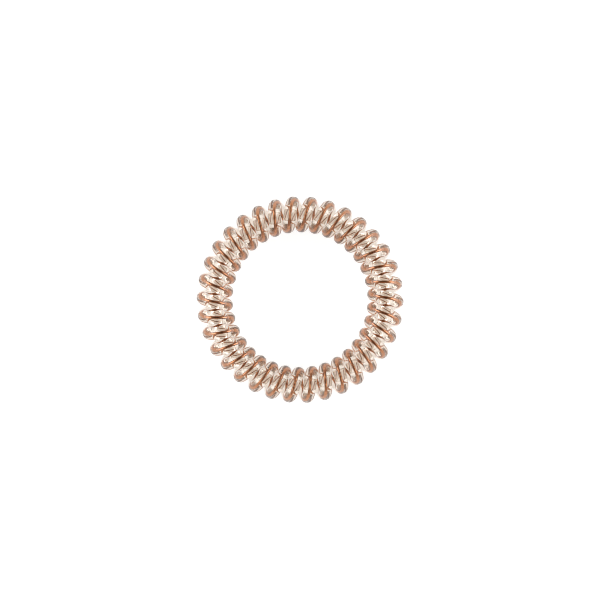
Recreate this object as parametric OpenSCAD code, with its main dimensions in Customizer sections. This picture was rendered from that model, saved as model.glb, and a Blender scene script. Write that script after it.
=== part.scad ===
// Spiral hair tie. A strand of clear plastic with a metallic core along its middle is wound
// into a close, left-handed coil, and the coil is closed into a ring that lies flat.
// The origin is on the surface that the ring lies on, under the ring's centre.

/* [Strand] */
// Diameter of the clear strand
strand_d = 3.05; // [2.6:0.05:3.4]
// Diameter of the metallic core in the strand's middle
core_d = 0.45; // [0.3:0.05:1.2]
// Space left between the core and the clear wall round it
core_gap = 0.05; // [0.02:0.01:0.1]

/* [Coil] */
// Diameter of the coil, measured over the strand
coil_d = 8.8; // [8:0.1:12]
// Number of turns in the closed ring
turns = 34; // [20:1:46]
// Space between neighbouring turns where they lie closest, on the inside of the ring
turn_gap = 0.17; // [0.05:0.01:0.6]
// Direction of one outer bend, in degrees from the X axis
first_bend = -1.2; // [-9:0.1:9]

/* [Hidden] */

// Mesh steps in one turn and sides round the section, of the strand and of its core.
// Steps are a multiple of 4, so that every turn has a section at its top, foot, inner and outer bend.
strand_steps = 12;
strand_sides = 8;
core_steps = 8;
core_sides = 5;

// Distance of the strand's centreline from the coil's own axis
coil_r = (coil_d - strand_d) / 2;
// Spacing of neighbouring turns, square to the strand
turn_pitch = strand_d + turn_gap;
// The same spacing along the ring, longer because the strand leans by its lead
inner_step = 1 / sqrt(1 / pow(turn_pitch, 2) - 1 / pow(2 * PI * coil_r, 2));
// Distance of the coil's axis from the ring's centre, at which that many turns close the ring
ring_r = coil_r + inner_step / (2 * sin(180 / turns));

up = [0, 0, 1];

// Direction round the ring that the coil has reached after it has wound through an angle
function bearing(wound) = first_bend + wound / turns;

// Unit vectors at a bearing: away from the ring's centre, and forward along the ring
function away(bearing) = [cos(bearing), sin(bearing), 0];
function forward(bearing) = [-sin(bearing), cos(bearing), 0];

// Unit vector from the coil's axis to the strand
function outward(wound) = cos(wound) * away(bearing(wound)) + sin(wound) * up;

// Point on the strand's centreline, and the direction that the strand runs in there
function centre(wound) =
    ring_r * away(bearing(wound)) + coil_r * outward(wound) + coil_d / 2 * up;
function along(wound) =
    let (
        round_ring = (ring_r + coil_r * cos(wound)) / turns * forward(bearing(wound)),
        round_coil = coil_r * (cos(wound) * up - sin(wound) * away(bearing(wound))),
        step = round_ring + round_coil
    )
    step / norm(step);

// Corners of a flat section, square to the strand
function section(wound, diameter, sides) =
    let (
        x = outward(wound),
        y = cross(along(wound), x)
    )
    [for (k = [0 : sides - 1])
        centre(wound) + diameter / 2 * (cos(360 * k / sides) * x + sin(360 * k / sides) * y)];

// A closed tube that follows the whole coil
module coiled_tube(diameter, steps, sides) {
    sections = turns * steps;
    points = [for (i = [0 : sections - 1])
        each section(360 * i / steps, diameter, sides)];
    faces = [for (i = [0 : sections - 1], k = [0 : sides - 1])
        let (
            here = i * sides,
            next = (i + 1) % sections * sides,
            side = (k + 1) % sides
        )
        each [[here + k, next + side, here + side], [here + k, next + k, next + side]]];
    polyhedron(points, faces, convexity = 10);
}

// The clear plastic, with the bore that its core lies in
module clear_strand() {
    color("linen", 0.5)
        difference() {
            coiled_tube(strand_d, strand_steps, strand_sides);
            coiled_tube(core_d + 2 * core_gap, core_steps, core_sides);
        }
}

// The metallic core, which shows through the clear plastic
module metallic_core() {
    color("peru")
        coiled_tube(core_d, core_steps, core_sides);
}

clear_strand();
metallic_core();
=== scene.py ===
import math

import bmesh
import bpy
from mathutils import Matrix, Vector


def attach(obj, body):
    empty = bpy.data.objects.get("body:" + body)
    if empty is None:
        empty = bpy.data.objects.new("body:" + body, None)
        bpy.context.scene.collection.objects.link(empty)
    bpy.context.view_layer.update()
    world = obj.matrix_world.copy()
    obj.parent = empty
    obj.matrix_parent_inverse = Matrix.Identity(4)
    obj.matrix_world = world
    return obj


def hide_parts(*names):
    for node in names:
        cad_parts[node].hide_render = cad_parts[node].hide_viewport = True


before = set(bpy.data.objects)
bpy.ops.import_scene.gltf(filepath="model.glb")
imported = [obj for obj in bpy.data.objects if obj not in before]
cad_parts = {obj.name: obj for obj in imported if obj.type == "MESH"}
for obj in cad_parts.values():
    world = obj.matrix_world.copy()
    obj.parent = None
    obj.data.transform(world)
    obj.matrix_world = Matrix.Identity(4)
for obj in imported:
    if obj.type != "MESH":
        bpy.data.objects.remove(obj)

scene = bpy.context.scene
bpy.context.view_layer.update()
MM = 0.001


# Sizes of the hair tie, in millimetres, as its solids have them
STRAND_D = 3.05
CORE_D = 0.45
COIL_D = 8.8  # over the strand
TURNS = 34
TURN_GAP = 0.17  # between neighbouring turns, on the inside of the ring
FIRST_BEND = math.radians(-1.2)  # direction of one outer bend, from the X axis

# From the coil's axis to the strand's, from turn to turn along the inside of the ring, and from
# the ring's centre to the coil's axis
coil_r = (COIL_D - STRAND_D) / 2
inner_step = 1 / math.sqrt((STRAND_D + TURN_GAP) ** -2 - (math.tau * coil_r) ** -2)
ring_r = coil_r + inner_step / (2 * math.sin(math.pi / TURNS))


# Camera: straight down, as the photograph was taken
PICTURE_WIDTH = 144.91  # mm of table across the picture, at the coil's mid-height
OFF_CENTRE = Vector((-0.019, -0.077))  # mm from the ring's centre to the picture's
CAMERA_DISTANCE = 0.8  # metres above the coil's mid-height
SENSOR_WIDTH = 36  # mm

camera = bpy.data.objects.new("camera", bpy.data.cameras.new("camera"))
scene.collection.objects.link(camera)
camera.data.sensor_width = SENSOR_WIDTH
camera.data.lens = SENSOR_WIDTH * CAMERA_DISTANCE / (PICTURE_WIDTH * MM)
camera.location = (*(OFF_CENTRE * MM), COIL_D / 2 * MM + CAMERA_DISTANCE)
scene.camera = camera
scene.view_settings.view_transform = "Standard"
scene.cycles.filter_width = 1  # pixels, as crisp as the photograph

# Light takes many turns inside the coiled clear strand before it comes out again
BOUNCES = 32
scene.cycles.max_bounces = BOUNCES
scene.cycles.transmission_bounces = BOUNCES
scene.cycles.glossy_bounces = BOUNCES


def linear(hex_colour):
    """Linear RGBA of an sRGB hex colour."""
    parts = [int(hex_colour[i:i + 2], 16) / 255 for i in (1, 3, 5)]
    return (*[p / 12.92 if p <= 0.04045 else ((p + 0.055) / 1.055) ** 2.4 for p in parts], 1)


def add(tree, kind, inputs=None, **settings):
    """Add a node with its settings. An input takes a value or another node's output."""
    node = tree.nodes.new(kind)
    for name, value in settings.items():
        setattr(node, name, value)
    for name, value in (inputs or {}).items():
        if isinstance(value, bpy.types.NodeSocket):
            tree.links.new(value, node.inputs[name])
        else:
            node.inputs[name].default_value = value
    return node


def new_material(name):
    """A material with its Principled shader and nothing else."""
    material = bpy.data.materials.new(name)
    material.use_nodes = True
    return material, material.node_tree, material.node_tree.nodes["Principled BSDF"]


def finished(name, bm, material):
    """Make a finished shape an object of one material."""
    mesh = bpy.data.meshes.new(name)
    bm.to_mesh(mesh)
    bm.free()
    mesh.materials.append(material)
    piece = bpy.data.objects.new(name, mesh)
    scene.collection.objects.link(piece)
    return piece


# The coil
TURN_STEPS = 64  # sections in one turn
MERGE_WITHIN = 0.001  # mm, at the joined ends of neighbouring turns


def section_frame(wound):
    """Where the strand's section lies after the coil has wound through an angle."""
    bearing = FIRST_BEND + wound / TURNS
    away = Vector((math.cos(bearing), math.sin(bearing), 0))
    forward = Vector((-math.sin(bearing), math.cos(bearing), 0))
    up = Vector((0, 0, 1))
    outward = math.cos(wound) * away + math.sin(wound) * up
    centre = ring_r * away + coil_r * outward + COIL_D / 2 * up
    round_ring = (ring_r + coil_r * math.cos(wound)) / TURNS * forward
    round_coil = coil_r * (math.cos(wound) * up - math.sin(wound) * away)
    along = (round_ring + round_coil).normalized()
    frame_matrix = Matrix((outward, along.cross(outward), along)).transposed().to_4x4()
    frame_matrix.translation = centre * MM
    return frame_matrix


def coiled(name, diameter, sides, material):
    """A closed tube that follows the whole coil: one turn is extruded, the rest are copies."""
    bm = bmesh.new()
    # Place round the section, which stays the same all along the coil
    place = bm.verts.layers.float_vector.new("section")
    ring = bmesh.ops.create_circle(
        bm, segments=sides, radius=diameter / 2 * MM, cap_ends=False, matrix=section_frame(0))
    for k, vert in enumerate(ring["verts"]):
        turn = math.tau * k / sides
        vert[place] = (math.cos(turn), math.sin(turn), 0)
    edges = bm.edges[:]
    for k in range(TURN_STEPS):
        before, after = (section_frame(math.tau * i / TURN_STEPS) for i in (k, k + 1))
        made = bmesh.ops.extrude_edge_only(bm, edges=edges)["geom"]
        edges = [part for part in made if isinstance(part, bmesh.types.BMEdge)]
        verts = [part for part in made if isinstance(part, bmesh.types.BMVert)]
        bmesh.ops.transform(bm, matrix=after @ before.inverted(), verts=verts)
    bmesh.ops.spin(
        bm, geom=bm.verts[:] + bm.edges[:] + bm.faces[:], cent=(0, 0, 0), axis=(0, 0, 1),
        angle=math.tau * (TURNS - 1) / TURNS, steps=TURNS - 1, use_duplicate=True)
    bmesh.ops.remove_doubles(bm, verts=bm.verts[:], dist=MERGE_WITHIN * MM)
    bmesh.ops.recalc_face_normals(bm, faces=bm.faces[:])
    for face in bm.faces:
        face.smooth = True
    return finished(name, bm, material)


# Clear thermoplastic polyurethane, extruded and wound hot on a rod. It is clear and glossy with a
# faint warm tint, and the die leaves fine lines that run along the strand.
DIE_LINE = 0.25  # mm from one line to the next; the real ones are finer and wouldn't show
DIE_LINE_DEPTH = 0.0016  # mm
LINE_DRIFT = 25  # mm of coil over which the lines move by the strand's radius
RIPPLE = 1.6  # mm, the soft waviness of hot plastic that was pulled and wound
RIPPLE_DEPTH = 0.012  # mm

clear_tpu, tree, shader = new_material("clear_extruded_polyurethane")
shader.inputs["Base Color"].default_value = linear("#E7DED4")
shader.inputs["Transmission Weight"].default_value = 1
shader.inputs["IOR"].default_value = 1.5
shader.inputs["Roughness"].default_value = 0.05
section_place = add(tree, "ShaderNodeAttribute", attribute_name="section").outputs["Vector"]
object_place = add(tree, "ShaderNodeTexCoord").outputs["Object"]
drift = add(tree, "ShaderNodeVectorMath", {
    0: object_place, 1: [1 / (LINE_DRIFT * MM)] * 3}, operation="MULTIPLY")
line_place = add(tree, "ShaderNodeVectorMath", {
    0: section_place, 1: drift.outputs[0]}, operation="ADD")
die_lines = add(tree, "ShaderNodeTexNoise", {
    "Vector": line_place.outputs[0], "Scale": STRAND_D / 2 / DIE_LINE,
    "Detail": 2, "Roughness": 0.6})
ripples = add(tree, "ShaderNodeTexNoise", {
    "Vector": object_place, "Scale": 1 / (RIPPLE * MM), "Detail": 1, "Roughness": 0.4})
line_bump = add(tree, "ShaderNodeBump", {
    "Height": die_lines.outputs[0], "Distance": DIE_LINE_DEPTH * MM, "Strength": 1})
ripple_bump = add(tree, "ShaderNodeBump", {
    "Height": ripples.outputs[0], "Distance": RIPPLE_DEPTH * MM, "Strength": 1,
    "Normal": line_bump.outputs[0]})
tree.links.new(ripple_bump.outputs[0], shader.inputs["Normal"])

# Polyurethane filled with copper-coloured metallic pigment, extruded together with the clear
# plastic round it. Its flakes lie flat along the wall, so it shines like polished metal, with a
# faint grain.
FLAKE_GRAIN = 0.35  # mm, coarser than the real flakes, which wouldn't show
DARK_GRAIN, PALE_GRAIN = 0.3, 0.7  # heights in the noise at which the tones are reached
POLISHED, DULLER = 0.04, 0.1  # roughness at those heights

copper_pigment, tree, shader = new_material("copper_pigmented_polyurethane")
shader.inputs["Metallic"].default_value = 1
object_place = add(tree, "ShaderNodeTexCoord").outputs["Object"]
grain = add(tree, "ShaderNodeTexNoise", {
    "Vector": object_place, "Scale": 1 / (FLAKE_GRAIN * MM), "Detail": 2, "Roughness": 0.6})
tone = add(tree, "ShaderNodeValToRGB", {"Fac": grain.outputs[0]})
for stop, height, colour in zip(
        tone.color_ramp.elements, (DARK_GRAIN, PALE_GRAIN), ("#BE8866", "#CE9C7E")):
    stop.position = height
    stop.color = linear(colour)
tree.links.new(tone.outputs["Color"], shader.inputs["Base Color"])
polish = add(tree, "ShaderNodeMapRange", {
    "Value": grain.outputs[0], "From Min": DARK_GRAIN, "From Max": PALE_GRAIN,
    "To Min": POLISHED, "To Max": DULLER})
tree.links.new(polish.outputs["Result"], shader.inputs["Roughness"])


# Strand and core, in place of the faceted solids
strand = coiled("strand", STRAND_D, sides=36, material=clear_tpu)
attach(strand, "root")
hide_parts("clear_strand")

core = coiled("core", CORE_D, sides=16, material=copper_pigment)
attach(core, "root")
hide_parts("metallic_core")


# Table: opal acrylic, lit softly from below in its middle, so that it shows white
TABLE_SIZE = 6  # metres
LIT_RADIUS = 0.12  # metres from the centre, where the light from below starts to fall off
FALL_OFF = 0.25  # metres over which it falls off
LIT, UNLIT = 0.84, 0.35  # strength of that light in the middle and past the fall-off

acrylic, tree, shader = new_material("opal_acrylic_table")
shader.inputs["Base Color"].default_value = linear("#B9B9B8")
shader.inputs["Roughness"].default_value = 0.6
shader.inputs["Specular IOR Level"].default_value = 0.1
distance = add(tree, "ShaderNodeVectorMath", {
    0: add(tree, "ShaderNodeTexCoord").outputs["Object"]}, operation="LENGTH")
glow = add(tree, "ShaderNodeMapRange", {
    "Value": distance.outputs["Value"], "From Min": LIT_RADIUS, "From Max": LIT_RADIUS + FALL_OFF,
    "To Min": LIT, "To Max": UNLIT}, interpolation_type="SMOOTHSTEP")
tree.links.new(glow.outputs["Result"], shader.inputs["Emission Strength"])
shader.inputs["Emission Color"].default_value = linear("#FFFFFF")

bm = bmesh.new()
bmesh.ops.create_grid(bm, x_segments=1, y_segments=1, size=TABLE_SIZE / 2)
table = finished("table", bm, acrylic)


# Light: a large soft box on each side of a pale, faintly warm room. Its ceiling is dim overhead,
# where the camera hangs, and the soft boxes brighten it towards its sides. The lit table brightens
# the foot of the walls.
SOFT_BOX_WIDTH, SOFT_BOX_HEIGHT = 1.3, 0.7  # metres
SOFT_BOX_RADIANCE = 2.5
SOFT_BOX_RISE = math.radians(24)  # above the table's plane, seen from the ring
CEILING = (  # degrees sideways from straight up, and radiance there
    (0, 0.03), (28, 0.06), (36, 0.6), (46, 1.2), (65, 1.6), (90, 1.8))
BRIGHTEST = 2  # radiance at the white end of the ceiling's shades
FRONT_WALL, BACK_WALL = 0.65, 0.55  # radiance
WALL_BLEND = 0.3  # the direction's Y, on either side of 0, within which one turns into the other
WALL_FOOT, WALL_MIDDLE = 1, 0.5  # radiance that the lit table gives the walls, low and higher up
FOOT_RISE = 0.35  # the direction's Z from which the table's light is that of the walls' middle
WALL_TOP, CEILING_EDGE = math.radians(40), math.radians(28)  # from straight up


def soft_box(name, bearing):
    """A soft box a metre from the ring, at a bearing in degrees, facing it."""
    light = bpy.data.lights.new(name, "AREA")
    light.shape = "RECTANGLE"
    light.size, light.size_y = SOFT_BOX_WIDTH, SOFT_BOX_HEIGHT
    light.energy = SOFT_BOX_RADIANCE * math.pi * SOFT_BOX_WIDTH * SOFT_BOX_HEIGHT
    box = bpy.data.objects.new(name, light)
    bearing = math.radians(bearing)
    box.location = (
        math.cos(SOFT_BOX_RISE) * math.cos(bearing), math.cos(SOFT_BOX_RISE) * math.sin(bearing),
        math.sin(SOFT_BOX_RISE))
    box.rotation_euler = box.location.to_track_quat("Z", "Y").to_euler()
    box.visible_camera = False
    scene.collection.objects.link(box)


soft_box("left_soft_box", 171)
soft_box("right_soft_box", 5)

world = bpy.data.worlds.new("studio")
scene.world = world
world.use_nodes = True
tree = world.node_tree
tree.nodes.clear()
direction = add(tree, "ShaderNodeSeparateXYZ", {
    0: add(tree, "ShaderNodeTexCoord").outputs["Generated"]})
sideways = add(tree, "ShaderNodeMath", {0: direction.outputs["X"]}, operation="ABSOLUTE")
tilt = add(tree, "ShaderNodeMath", {
    0: sideways.outputs[0], 1: direction.outputs["Z"]}, operation="ARCTAN2")
share = add(tree, "ShaderNodeMapRange", {
    "Value": tilt.outputs[0], "From Min": 0, "From Max": math.pi / 2, "To Min": 0, "To Max": 1})
shades = add(tree, "ShaderNodeValToRGB", {"Fac": share.outputs["Result"]})
shades.color_ramp.interpolation = "EASE"
stops = shades.color_ramp.elements
for degrees, _ in CEILING[1:-1]:
    stops.new(degrees / 90)
for stop, (_, radiance) in zip(stops, CEILING):
    stop.color = (*[radiance / BRIGHTEST] * 3, 1)
ceiling = add(tree, "ShaderNodeMath", {
    0: shades.outputs["Color"], 1: BRIGHTEST}, operation="MULTIPLY")
walls = add(tree, "ShaderNodeMapRange", {
    "Value": direction.outputs["Y"], "From Min": -WALL_BLEND, "From Max": WALL_BLEND,
    "To Min": FRONT_WALL, "To Max": BACK_WALL}, interpolation_type="SMOOTHSTEP")
near_table = add(tree, "ShaderNodeMapRange", {
    "Value": direction.outputs["Z"], "From Min": 0, "From Max": FOOT_RISE,
    "To Min": WALL_FOOT, "To Max": WALL_MIDDLE}, interpolation_type="SMOOTHSTEP")
lit_walls = add(tree, "ShaderNodeMath", {
    0: walls.outputs[0], 1: near_table.outputs[0]}, operation="MAXIMUM")
above_walls = add(tree, "ShaderNodeMapRange", {
    "Value": direction.outputs["Z"], "From Min": math.cos(WALL_TOP),
    "From Max": math.cos(CEILING_EDGE), "To Min": 0, "To Max": 1}, interpolation_type="SMOOTHSTEP")
room = add(tree, "ShaderNodeMix", {
    "Factor": above_walls.outputs[0], "A": lit_walls.outputs[0], "B": ceiling.outputs[0]})
background = add(tree, "ShaderNodeBackground", {
    "Color": linear("#F4E6D8"), "Strength": room.outputs[0]})
add(tree, "ShaderNodeOutputWorld", {"Surface": background.outputs[0]})
